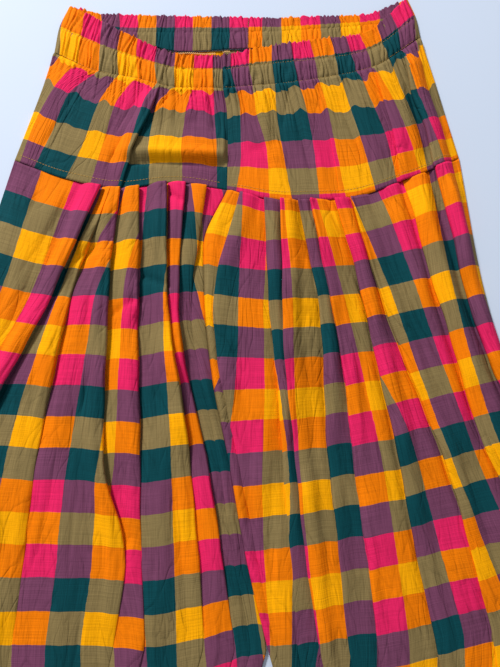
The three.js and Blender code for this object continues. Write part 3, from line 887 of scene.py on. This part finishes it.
RIGHT_WAIST = {
    "side": [168, 176, 180, 193, 206, 215],
    "centre": [-30, -29, -28, -24, -23, -23.5],
    "front": [(512, 472, 465, 457.5, 446.5), (491, 454, 444, 439, 432), (468, 434, 422, 415, 411),
              (420, 398, 389, 387, 384), (370, 352, 342, 340, 340), (336, 311, 292, 290, 302)],
    "back": [(512, 494, 492, 491, 492), (491, 483, 479, 476, 475), (468, 464, 461, 458, 456.3),
             (420, 418, 418, 418, 418), (370, 368, 367, 367, 367), (336, 331, 328, 327, 327)],
    "row": [0.4, 1.09, 1.78, 2.87, 4.45, 6.22],
    "side_stripe": [11.4, 11.4, 11.4, 11.5, 11.4, 11.35],
    "centre_stripe": [0.5, 0.5, 0.5, 0.45, 0.45, 0.6],
}
LEFT_WAIST_MARKS = {
    1: [-175, -178, -180, -202, -225, -236],
    2: [-155, -158, -158, -187, -206, -221],
    3: [-135, -139, -137, -156, -171, -188],
    4: [-117, -119, -117, -140, -152, -163],
    5: [-98, -100, -97, -111, -123, -135],
    6: [-79, -79, -78, -98, -103, -103],
    7: [-59, -59, -59, -66, -70, -69],
    8: [-39, -39, -38, -37, -34, -34],
}
RIGHT_WAIST_MARKS = {
    11: [166, 174, 174, 183, 197, 207],
    10: [148, 156, 158, 170, 186, 197],
    9: [133, 139, 145, 158, 175, 181],
    8: [116, 123, 127, 146, 163, 175],
    7: [100, 106, 111, 126, 142, 150],
    6: [85, 89, 92, 103, 117, 128],
    5: [64, 68, 71, 80, 89, 98],
    4: [43, 46, 50, 58, 66, 71],
    3: [22, 23, 26, 27, 34, 43],
    2: [-1, -1, 3, 6, 18, 20],
    1: [-20, -20, -15, -10, -9, -14],
}
LEFT_YOKE_FOLDS = [
    {"height": 3, "casing": (-165, 1.67, 1.67), "hip": (-178, 2.3, 2.36),
     "low": (-200, 2.17, 2.23), "seam": (-214, 2.2, 2.22)},
    {"height": 6, "casing": (-92, 5.25, 5.25), "hip": (-101, 5.33, 5.78),
     "low": (-119, 5.05, 5.45), "seam": (-131, 5.12, 5.25)},
]
RIGHT_YOKE_FOLDS = [
    {"height": 8, "casing": (158, 10.0, 10.0), "hip": (165, 9.95, 9.3),
     "low": (180, 9.75, 9.15), "seam": (186, 9.6, 9.1)},
    {"height": 6, "casing": (128, 8.06, 8.05), "hip": (137, 7.6, 7.33),
     "low": (148, 7.5, 7.2), "seam": (153, 7.25, 7.1)},
    {"height": 4, "casing": (70, 4.95, 4.95), "hip": (74, 4.75, 4.62),
     "low": (85, 4.9, 4.8), "seam": (92, 4.85, 4.8)},
]
LEFT_YOKE_CREASES = [
    ((-170, 428), (-212, 350), -1.8, 3),
    ((-125, 408), (-150, 352), -1.0, 4),
    ((-92, 392), (-60, 380), 2.2, 10),
    ((-116, 352), (-22, 350), 3.6, 16),
    ((-116, 341), (-22, 338), 4.8, 6),
    ((-124, 331), (-26, 328), -3.8, 3),
    ((-116, 389), (-144, 332), -1.8, 2.5),
    ((-122, 392), (-136, 366), -1.6, 2.5),
    ((-84, 402), (-92, 390), -2.0, 2.5),
    ((-42, 402), (-37, 366), -2.4, 3),
    ((-48, 405), (-40, 372), 1.6, 6),
    ((-72, 408), (-76, 380), -1.2, 4),
]
RIGHT_YOKE_CREASES = [
    ((156, 398), (171, 338), 2.6, 7),
    ((167, 404), (182, 338), -3.0, 4),
    ((-11, 404), (22, 322), -2.2, 4),
    ((-2, 404), (30, 330), 1.8, 8),
    ((41, 403), (64, 312), -2.4, 4),
    ((50, 400), (74, 318), 1.8, 8),
    ((91, 398), (116, 332), -2.2, 4),
    ((40, 408), (34, 372), -1.8, 4),
    ((12, 408), (18, 366), 1.8, 7),
    ((2, 344), (30, 352), -1.6, 5),
    ((112, 400), (132, 330), 1.6, 9),
    ((150, 420), (170, 352), 1.4, 6),
]
print("yoke folds:", len(LEFT_YOKE_FOLDS) + len(RIGHT_YOKE_FOLDS))

# %% [markdown]
# The gathers are one formula for the casing and the yoke, so the two meet. The height is round on
# top and sharp in the groove, as gathered cotton is, and each gather has its own size and its own
# reach down into the yoke.

# %% Gathers
GATHER_HEIGHTS = {
    "below_edge": [0, 16, UPPER_STITCH, 20, 30, 39, LOWER_STITCH, GATHERS_OPEN],
    "height": [2.3, 1.9, 1.1, 1.9, 2.4, 1.9, 1.1, 2.4],
}
LEFT_WAVES = 35
RIGHT_WAVES = 43
print("gathers drawn:", 2 * (LEFT_WAVES + RIGHT_WAVES))


def gather_shape(share, waves, below_edge, salt):
    """Each gather's height, from 0 in the groove to about 1 on top, and its number."""
    # The sines make the gathers uneven across, and let them bend on their way down
    place = share * waves + 0.3 * np.sin(share * 31 + salt) + 0.25 * np.sin(share * 83 + 2 * salt)
    zone = 0 if below_edge < UPPER_STITCH else 1.7
    place = place + 0.28 * np.sin(below_edge / 4.5 + share * 57 + zone) * np.sin(share * 19 + zone)
    place = place + zone * 0.12
    number = np.floor(place)
    height = np.abs(np.sin(np.pi * place)) ** 0.65 * (1 + 0.15 * np.sin(place * 11 + below_edge / 3))
    return height, number


def gather_relief(share, waves, below_edge, salt):
    """Gather height in millimetres at a distance below the waist edge."""
    place = min(below_edge, GATHERS_OPEN)
    height, number = gather_shape(share, waves, place, salt)
    size = 0.55 + 0.9 * chance(number, salt)
    in_casing = along(GATHER_HEIGHTS["below_edge"], GATHER_HEIGHTS["height"], place)
    reach = 11 + 30 * chance(number, salt + 3) ** 2
    fade = np.exp(-np.maximum(below_edge - GATHERS_OPEN, 0) / reach)
    return height * size * in_casing * fade, (height - 0.5) * fade * size


def channel_swell(below_edge):
    """How far the elastic between the two stitchings fills the casing out."""
    return 0.6 * float(ease((below_edge - UPPER_STITCH) / 6) * ease((LOWER_STITCH - below_edge) / 6))


def waist_reader(waist, level):
    """The waist's sizes at one level, which may lie between two of the table's."""
    index = range(len(WAIST_LEVELS))
    names = ("side", "centre", "row", "side_stripe", "centre_stripe")
    read = {name: float(along(index, waist[name], level)) for name in names}
    for name in ("front", "back"):
        read[name] = [float(along(index, [row[k] for row in waist[name]], level)) for k in range(5)]
    return read


# %% [markdown]
# Each half of the yoke is drawn row by row as the legs are. Its rows are closest just below the
# casing, where the gathers run out, and its few folds go on into the leg's pleats. A gather tugs at
# the cloth under it, so the check's rows are wavy there.

# %% Yokes
CASING_LEVEL = WAIST_LEVELS.index("casing")
HIP_LEVEL = WAIST_LEVELS.index("hip")
SEAM_LEVEL = WAIST_LEVELS.index("seam")
YOKE_LEVELS = np.concatenate([
    np.linspace(CASING_LEVEL, HIP_LEVEL, 24, endpoint=False),
    np.linspace(HIP_LEVEL, SEAM_LEVEL, 34),
])
YOKE_SPACING = 0.75
YOKE_RIPPLES = 0.4
WAIST_MIRROR_STRIPE = 3


def yoke_rows(waist, folds_table, marks_table, creases, waves, sign, salt):
    stops = [waist["side"][-1]] + [fold["seam"][0] for fold in folds_table] + [waist["centre"][-1]]
    counts = column_counts(stops, YOKE_SPACING)
    names = WAIST_LEVELS[CASING_LEVEL:]
    to_check = check_counter(sign, WAIST_MIRROR_STRIPE)
    rows = []
    for level in YOKE_LEVELS:
        read = waist_reader(waist, level)
        below_edge = float(along(range(len(LEVEL_DEPTHS)), LEVEL_DEPTHS, level))
        in_yoke = level - CASING_LEVEL
        folds = []
        for fold in folds_table:
            columns = list(zip(*[fold[name] for name in names]))
            x, outer, inner = (float(along(range(len(names)), column, in_yoke)) for column in columns)
            height = fold["height"] * min(abs(outer - inner) * STRIPE / FULL_PLEAT, 1)
            folds.append({"x": sign * x, "outer": outer, "inner": inner, "height": height})
        marks = []
        for stripe, at_levels in marks_table.items():
            x = float(along(range(len(names)), at_levels[CASING_LEVEL:], in_yoke))
            marks.append((sign * x, stripe))
        side, centre = sign * read["side"], sign * read["centre"]
        rest = BAND_Z + (FRONT_Z - BAND_Z) * float(ease(in_yoke / 3))
        ends = (read["side_stripe"], read["centre_stripe"])
        swell = 1.2 * float(ease(in_yoke / 0.6))
        line = pleated_row(side, centre, rest, folds, marks, ends, 0, counts, BACK_POINTS, swell)
        line["span"] = np.clip((line["x"] - side) / (centre - side), 0, 1)

        def relief(x, y, drawn, row):
            calm = away_from_seams(drawn["share"])
            gathers = gather_relief(drawn["span"], waves, below_edge, salt)[0]
            settle = float(ease(in_yoke / 0.5))
            waves_along = ripples(drawn["stripe"], row, YOKE_RIPPLES)
            return gathers + calm * settle * (crease_relief(x, y, creases) + waves_along)

        def row_relief(drawn):
            tugs = -0.13 * gather_relief(drawn["span"], waves, below_edge, salt)[1]
            bows = 0.13 * np.sin(drawn["span"] * waves * 1.1 + salt)
            bows = bows + 0.07 * np.sin(drawn["span"] * waves * 2.3)
            slack = float(ease((below_edge - LOWER_STITCH) / 10)) * math.exp(-max(below_edge - 60, 0) / 30)
            return (tugs + slack * bows) * drawn["front"]

        rows.append(finish_row(
            line, (side, centre), (read["front"], read["back"]), read["row"],
            0, sign, to_check, relief, row_relief,
        ))
    return rows


left_yoke_rows = yoke_rows(
    LEFT_WAIST, LEFT_YOKE_FOLDS, LEFT_WAIST_MARKS, LEFT_YOKE_CREASES, LEFT_WAVES, 1, 1,
)
right_yoke_rows = yoke_rows(
    RIGHT_WAIST, RIGHT_YOKE_FOLDS, RIGHT_WAIST_MARKS, RIGHT_YOKE_CREASES, RIGHT_WAVES, -1, 2,
)
yoke_left = lay_cloth("yoke_cloth_left", left_yoke_rows, False)
yoke_right = lay_cloth("yoke_cloth_right", right_yoke_rows, True)

# %% [markdown]
# The casing is the same tube of cloth above the lower stitching. Its gathers stand on the face
# that shows: upwards on the front, and upwards on the inner side of the back. Above the upper
# stitching the gathers lean a little to either side, as a ruffle does. The seam at the centre back
# lies to the right of the one in front, so the stripes behind are counted from there.

# %% Waist casings
CASING_DEPTHS = [
    0, 0.8, 2, 4.5, 7.5, 11, 14.5, 16.5, 17.4, UPPER_STITCH,
    18.6, 19.6, 22, 25, 29, 33, 36.5, 39, 40.2, LOWER_STITCH,
]
POINTS_PER_GATHER = 8
RUFFLE_LEAN = 1.5
FRONT_LEANS = 47
BACK_LEANS = 53
RUFFLE_FRILL = 0.5
BACK_SWELL = 0.75
BACK_GATHERS = 0.6


def casing_rows(waist, marks_table, waves, sign, salt, back_stripe_at, back_row_at):
    to_check = check_counter(sign, WAIST_MIRROR_STRIPE)
    count = waves * POINTS_PER_GATHER
    levels = range(CASING_LEVEL + 1)
    rows = []
    for below_edge in CASING_DEPTHS:
        level = float(along(LEVEL_DEPTHS, range(len(LEVEL_DEPTHS)), below_edge))
        read = waist_reader(waist, level)
        side, centre = sign * read["side"], sign * read["centre"]
        marks = [(side, read["side_stripe"]), (centre, read["centre_stripe"])]
        for stripe, at_levels in marks_table.items():
            x = float(along(levels, at_levels[:len(levels)], level))
            marks.append((sign * x, stripe))
        mark_x, mark_stripes = zip(*sorted(marks))
        turn = (BAND_Z - BACK_Z) / 2
        start = side + turn
        breadth = centre - start
        span = np.linspace(0, 1, count + 1)
        front_x = start + breadth * span
        back_span = span[::-1][:-1]
        back_x = start + breadth * back_span
        turn_x = start + turn * np.cos(TURN_ANGLES)
        turn_x = turn_x - WALL / 2 * np.abs(np.cos(TURN_ANGLES))
        turn_z = BACK_Z + turn + turn * np.sin(TURN_ANGLES)

        front_wave, _ = gather_relief(span, waves, below_edge, salt)
        back_wave, _ = gather_relief(back_span, waves, below_edge, salt + 5)
        ruffle = max(0, 1 - below_edge / UPPER_STITCH)
        lean = RUFFLE_LEAN * ruffle * np.sin(span * FRONT_LEANS + salt) * np.sin(np.pi * span)
        back_lean = RUFFLE_LEAN * ruffle * np.sin(back_span * BACK_LEANS + salt) * np.sin(np.pi * back_span)
        frill = RUFFLE_FRILL * ruffle ** 4
        front_y = along(QUARTERS, read["front"], span) + frill * (front_wave - 1)
        back_y = along(QUARTERS, read["back"], back_span) + frill * (back_wave - 1)
        turn_y = np.full(TURN_POINTS, read["front"][0])

        swell = channel_swell(below_edge)
        calm = ease(span / 0.02)
        front_z = BAND_Z + WALL / 2 + calm * (front_wave + swell)
        back_z = BACK_Z + WALL / 2 + ease(back_span / 0.03) * (BACK_SWELL + back_wave * BACK_GATHERS)
        outline = {
            "x": sign * np.concatenate([back_x + back_lean, turn_x, front_x + lean]),
            "y": np.concatenate([back_y, turn_y, front_y]),
            "z": np.concatenate([back_z, turn_z, front_z]),
            "stripe": to_check(np.concatenate([
                back_stripe_at(sign * back_x),
                np.full(TURN_POINTS, read["side_stripe"]),
                np.interp(front_x, mark_x, mark_stripes),
            ])),
            "row": np.concatenate([
                back_row_at(sign * back_x) - below_edge / ROW,
                np.full(TURN_POINTS, read["row"]),
                np.full(count + 1, read["row"]),
            ]),
        }
        rows.append(outline)
    return rows


BACK_SEAM_X = -2
LEFT_BACK = {"first_x": -157.5, "stripe_width": 19.44}
RIGHT_BACK = {"first_x": 137, "first_stripe": 13, "stripe_width": 20.7}


def left_back_stripe(x):
    return -(x - LEFT_BACK["first_x"]) / LEFT_BACK["stripe_width"]


def right_back_stripe(x):
    past_seam = WAIST_MIRROR_STRIPE - left_back_stripe(x)
    own = RIGHT_BACK["first_stripe"] + (RIGHT_BACK["first_x"] - x) / RIGHT_BACK["stripe_width"]
    return np.where(x < BACK_SEAM_X, past_seam, own)


def left_back_row(x):
    return np.full(len(x), LEFT_WAIST["row"][0])


def right_back_row(x):
    return np.where(x < BACK_SEAM_X, LEFT_WAIST["row"][0], RIGHT_WAIST["row"][0])


left_casing_rows = casing_rows(
    LEFT_WAIST, LEFT_WAIST_MARKS, LEFT_WAVES, 1, 1, left_back_stripe, left_back_row,
)
right_casing_rows = casing_rows(
    RIGHT_WAIST, RIGHT_WAIST_MARKS, RIGHT_WAVES, -1, 2, right_back_stripe, right_back_row,
)
casing_left = lay_cloth("waist_casing_left", left_casing_rows, False)
casing_right = lay_cloth("waist_casing_right", right_casing_rows, True)

# %% [markdown]
# Topstitching is thread, so it is modelled: one stitch is a small flattened bead, shaped once and
# copied along each seam line, just proud of the cloth. Where cloth is folded, the needle goes
# through the top layer, so each stitch looks for the highest cloth at its place. The raw hem inside
# the back of the waist is overlocked: a thicker thread runs in a zigzag along its edge.

# %% Stitches
YOKE_STITCH = {"length": 2.8, "width": 0.45, "pitch": 3.2, "proud": 0.2}
ANKLE_STITCH = {"length": 2.8, "width": 0.45, "pitch": 3.2, "proud": 0.12}
CASING_STITCH = {"length": 1.9, "width": 0.4, "pitch": 2.6, "proud": 0.12}
OVERLOCK_STITCH = {"length": 3.2, "width": 0.8, "pitch": 1.1, "proud": 0.3, "slant": 0.8}


def one_stitch(length, width):
    bpy.ops.object.select_all(action="DESELECT")
    bpy.ops.mesh.primitive_uv_sphere_add(segments=6, ring_count=4, radius=0.5)
    bead = bpy.context.object
    bpy.ops.object.mode_set(mode="EDIT")
    bpy.ops.transform.resize(value=(length, width, width * 0.7))
    bpy.ops.object.mode_set(mode="OBJECT")
    points = np.array([vertex.co[:] for vertex in bead.data.vertices])
    faces = [tuple(face.vertices) for face in bead.data.polygons]
    bpy.data.objects.remove(bead)
    return points, faces


def highest_on_row(row, x_wanted):
    """Points on the top layer of a row of cloth, one for each x."""
    x, y, z = row["x"], row["y"], row["z"]
    low = np.minimum(x[:-1], x[1:])
    high = np.maximum(x[:-1], x[1:])
    places = []
    for wanted in x_wanted:
        hit = np.nonzero((low <= wanted) & (high > wanted))[0]
        if not len(hit):
            continue
        shares = (wanted - x[hit]) / (x[hit + 1] - x[hit])
        best = np.argmax(z[hit] + (z[hit + 1] - z[hit]) * shares)
        at = hit[best]
        place_y = y[at] + (y[at + 1] - y[at]) * shares[best]
        place_z = z[at] + (z[at + 1] - z[at]) * shares[best]
        places.append([wanted, place_y, place_z])
    return np.array(places)


def spaced(points, pitch):
    """Points one pitch apart along a line."""
    steps = np.hypot(np.diff(points[:, 0]), np.diff(points[:, 1]))
    distance = np.concatenate([[0], np.cumsum(steps)])
    wanted = np.arange(pitch, distance[-1] - pitch, pitch)
    return np.stack([np.interp(wanted, distance, points[:, k]) for k in range(3)], axis=-1)


def sew(name, lines, material, length, width, pitch, proud, slant=0.0):
    bead, faces = one_stitch(length, width)
    points = []
    polygons = []
    for line in lines:
        places = spaced(line, pitch)
        ahead = np.gradient(places, axis=0)
        for index, (place, way) in enumerate(zip(places, ahead)):
            turn = math.atan2(way[1], way[0]) + slant * (1 if index % 2 else -1)
            c, s = math.cos(turn), math.sin(turn)
            rise = way[2] / max(math.hypot(way[0], way[1]), 1e-6)
            base = len(points) * len(bead)
            x = place[0] - MIDDLE["x"] + bead[:, 0] * c - bead[:, 1] * s
            y = place[1] - MIDDLE["y"] + bead[:, 0] * s + bead[:, 1] * c
            z = place[2] + proud + bead[:, 2] + bead[:, 0] * rise
            points.append(np.stack([x, y, z], axis=-1))
            polygons += [tuple(base + corner for corner in face) for face in faces]
    mesh = bpy.data.meshes.new(name)
    mesh.from_pydata((np.concatenate(points) * MM).tolist(), [], polygons)
    mesh.update()
    for polygon in mesh.polygons:
        polygon.use_smooth = True
    thread = bpy.data.objects.new(name, mesh)
    bpy.context.scene.collection.objects.link(thread)
    mesh.materials.append(material)
    print(name, "stitches", len(points))
    return thread


def between(first, last):
    return np.arange(min(first, last), max(first, last), 1.0)


def inner_side_line(row, first, last):
    """A line on a casing's back panel, whose inner side shows above the front."""
    back = slice(0, len(row["x"]) // 2 - TURN_POINTS)
    return highest_on_row({key: row[key][back] for key in ("x", "y", "z")}, between(first, last))


YOKE_ROW = -4
ANKLE_ROW = 5
CASING_STITCH_ROWS = [CASING_DEPTHS.index(UPPER_STITCH), len(CASING_DEPTHS) - 2]

yoke_lines = [
    highest_on_row(left_yoke_rows[YOKE_ROW], between(-238, -25)),
    highest_on_row(right_yoke_rows[YOKE_ROW], between(-21, 212)),
]
casing_lines = []
inner_lines = []
for index in CASING_STITCH_ROWS:
    casing_lines.append(highest_on_row(left_casing_rows[index], between(-198, -31)))
    casing_lines.append(highest_on_row(right_casing_rows[index], between(-27, 174)))
    inner_lines.append(inner_side_line(left_casing_rows[index], -176, -31))
    inner_lines.append(inner_side_line(right_casing_rows[index], -27, 140))
ankle_lines = [
    highest_on_row(facing_left_rows[ANKLE_ROW], between(-270, -112)),
    highest_on_row(facing_right_rows[ANKLE_ROW], between(110, 268)),
]

HEM = {"first_x": -82, "last_x": -34, "y": 451.6, "z": 1.5}
hem_x = np.arange(HEM["first_x"], HEM["last_x"], 1.0)
hem_y = HEM["y"] + 0.5 * np.sin(hem_x / 6)
hem_line = np.stack([hem_x, hem_y, np.full(len(hem_x), HEM["z"])], axis=-1)

SEAM_END = {"first_x": -29, "last_x": -19, "y": 453.5, "z": 2.2}
end_x = np.arange(SEAM_END["first_x"], SEAM_END["last_x"], 1.0)
droop = (end_x - (SEAM_END["first_x"] + SEAM_END["last_x"]) / 2) ** 2
end_line = np.stack([end_x, SEAM_END["y"] - 0.04 * droop, SEAM_END["z"] - 0.03 * droop], axis=-1)

yoke_thread = sew("yoke_topstitch", yoke_lines, THREAD, **YOKE_STITCH)
casing_thread = sew("casing_topstitch", casing_lines, THREAD, **CASING_STITCH)
ankle_thread = sew("ankle_topstitch", ankle_lines, THREAD, **ANKLE_STITCH)
inner_thread = sew("inner_casing_topstitch", inner_lines, THREAD, **CASING_STITCH)
overlock_thread = sew("overlocked_edge", [hem_line, end_line], OVERLOCK, **OVERLOCK_STITCH)

# %% [markdown]
# Every piece rides on the one body of the part and stands for its solid, which is hidden. The table also
# gives each sheet's cut before it was pleated or gathered, all round, and what it rests on; nothing reads
# these.

SHEETS = [
    (leg_left, "leg_left", (0.92, 0.765), 0.60, ["yoke_left"]),
    (leg_right, "leg_right", (0.94, 0.765), 0.61, ["yoke_right"]),
    (facing_left, "cuff_left", (0.38, 0.042), None, ["leg_left"]),
    (facing_right, "cuff_right", (0.38, 0.042), None, ["leg_right"]),
    (yoke_left, "yoke_left", (0.48, 0.122), None, ["leg_left"]),
    (yoke_right, "yoke_right", (0.54, 0.133), None, ["leg_right"]),
    (casing_left, "waistband_left", (0.56, 0.042), None, ["yoke_left"]),
    (casing_right, "waistband_right", (0.62, 0.042), None, ["yoke_right"]),
]
for piece, node, flat, area, rests_on in SHEETS:
    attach(piece, "root")
    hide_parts(node)
for thread in (yoke_thread, casing_thread, ankle_thread, inner_thread, overlock_thread):
    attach(thread, "root")
